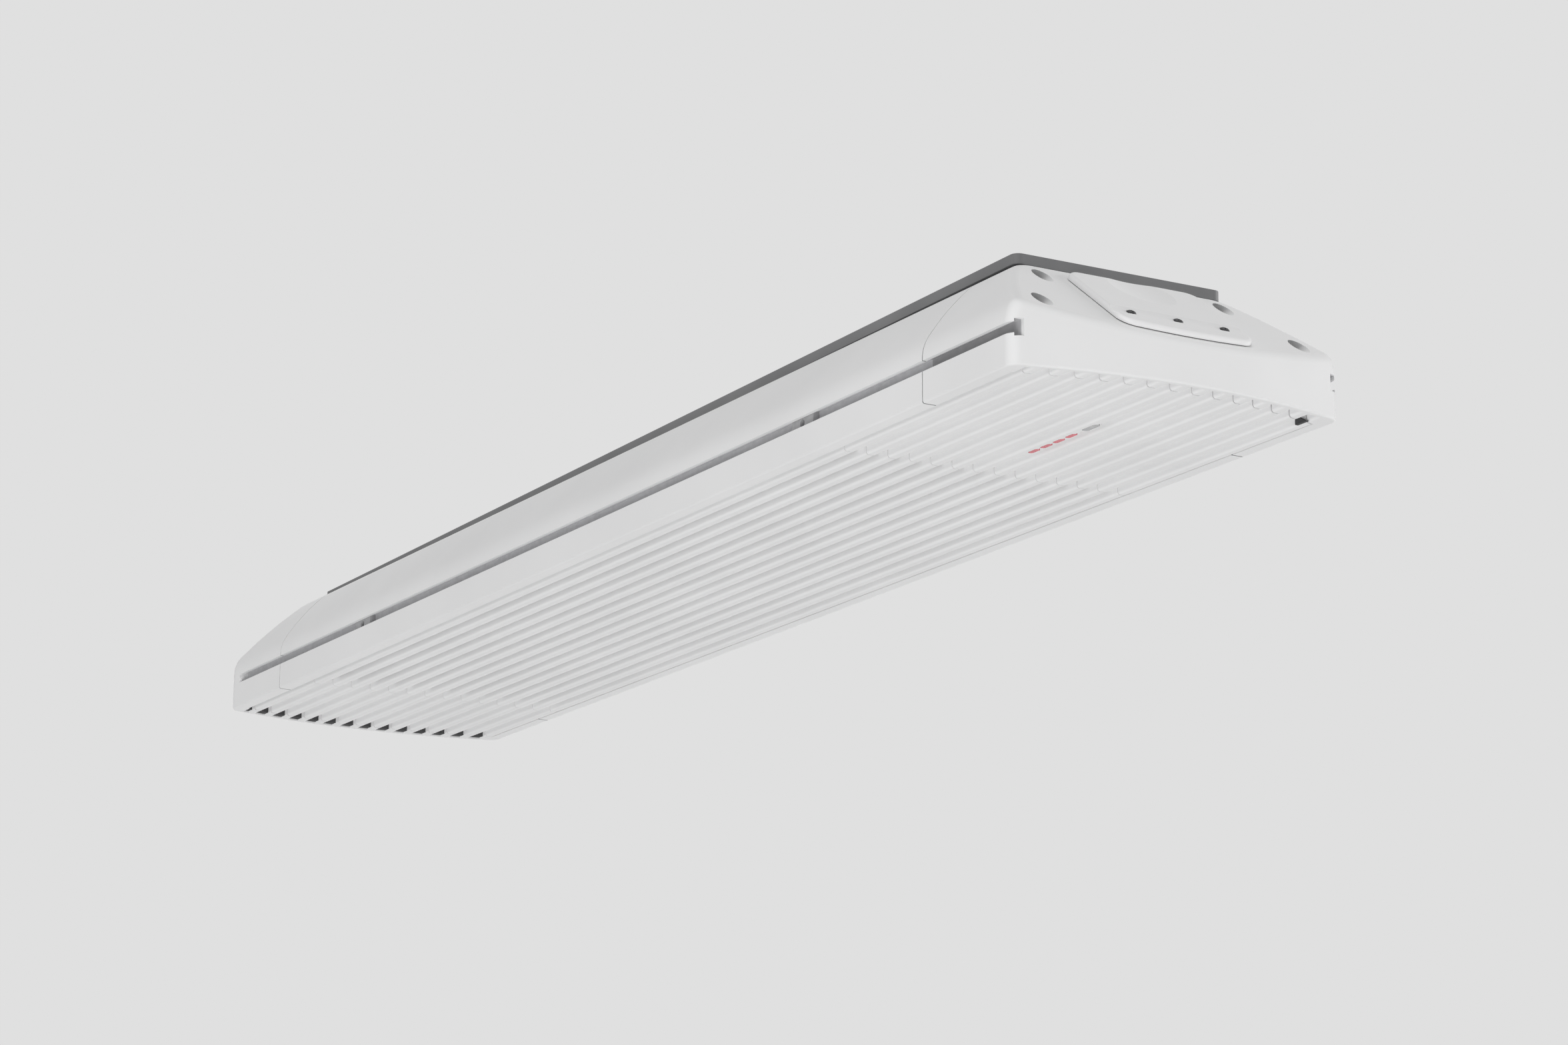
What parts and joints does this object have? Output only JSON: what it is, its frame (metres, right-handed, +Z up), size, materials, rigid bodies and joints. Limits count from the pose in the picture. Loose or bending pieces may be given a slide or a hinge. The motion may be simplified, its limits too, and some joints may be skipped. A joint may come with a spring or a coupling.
{
  "type": "infrared radiant heater",
  "caption": "Long slim ceiling infrared heater: arched white housing, sloped end caps, saw-tooth slotted front over lamps and reflector, side slots with sliding nuts.",
  "frame": {"origin": "centre of the ceiling face, the top of the ceiling plate", "axes": "+Z up out of the ceiling face, +X along the length towards the control end, +Y to the right seen from the control end; the heating front faces -Z"},
  "size_m": [0.9, 0.182, 0.07],
  "materials": {
    "white_coat": "satin white powder coat",
    "grey_rubber": "matt",
    "black_rubber": "matt foam rubber",
    "dark_steel": "black oxide",
    "bright_steel": "zinc plated",
    "mineral_felt": "pressed mineral fibre",
    "clear_glass": "clear, polished",
    "mirror_sheet": "polished aluminium",
    "carbon_strip": "matt carbon",
    "ceramic": "glazed ceramic",
    "black_plastic": "moulded, matt",
    "green_board": "lacquered board",
    "red_lens": "clear red, smooth",
    "smoked_lens": "smoked, smooth",
    "dark_plate": "dark grey powder coat"
  },
  "bodies": {
    "housing": {"housing_shell": "white_coat", "left_rail": "white_coat", "right_rail": "white_coat", "left_slot_strip": "dark_steel", "right_slot_strip": "dark_steel", "near_end_cap": "white_coat", "far_end_cap": "white_coat", "near_cap_gasket": "grey_rubber", "far_cap_gasket": "grey_rubber", "near_cap_cover": "white_coat", "far_cap_cover": "white_coat", "near_cover_gasket": "black_rubber", "far_cover_gasket": "black_rubber", "drain_plug": "black_rubber", "far_vent_plugs": "black_rubber", "cover_screws": "dark_steel", "cap_screws": "dark_steel", "near_front_panel": "white_coat", "front_grille": "white_coat", "far_front_panel": "white_coat", "glass_seal": "mineral_felt", "front_glass": "clear_glass", "reflector": "mirror_sheet", "near_bulkhead": "bright_steel", "far_bulkhead": "bright_steel", "lamp_tube_left": "clear_glass", "lamp_tube_right": "clear_glass", "heating_element_left": "carbon_strip", "heating_element_right": "carbon_strip", "lamp_ends": "ceramic", "lamp_clips": "bright_steel", "heat_shield": "bright_steel", "insulation_mat": "mineral_felt", "thermal_cutout": "black_plastic", "control_board": "green_board", "board_standoffs": "bright_steel", "board_components": "black_plastic", "terminal_block": "black_plastic", "level_lenses": "red_lens", "receiver_window": "smoked_lens", "indicator_board": "green_board", "ceiling_plate": "dark_plate", "weld_nuts": "bright_steel", "plate_screws": "bright_steel", "cable_grommet": "grey_rubber"},
    "slot_nut_left_near": {"slot_nut_left_near": "dark_steel"},
    "slot_nut_left_far": {"slot_nut_left_far": "dark_steel"},
    "slot_nut_right_near": {"slot_nut_right_near": "dark_steel"},
    "slot_nut_right_far": {"slot_nut_right_far": "dark_steel"}
  },
  "joints": [
    {"name": "slot_nut_left_near_slide", "type": "slide", "parent": "housing", "child": "slot_nut_left_near", "axis": [1, 0, 0], "range_m": [-0.2, 0.15]},
    {"name": "slot_nut_left_far_slide", "type": "slide", "parent": "housing", "child": "slot_nut_left_far", "axis": [1, 0, 0], "range_m": [-0.15, 0.2]},
    {"name": "slot_nut_right_near_slide", "type": "slide", "parent": "housing", "child": "slot_nut_right_near", "axis": [1, 0, 0], "range_m": [-0.2, 0.15]},
    {"name": "slot_nut_right_far_slide", "type": "slide", "parent": "housing", "child": "slot_nut_right_far", "axis": [1, 0, 0], "range_m": [-0.15, 0.2]}
  ]
}
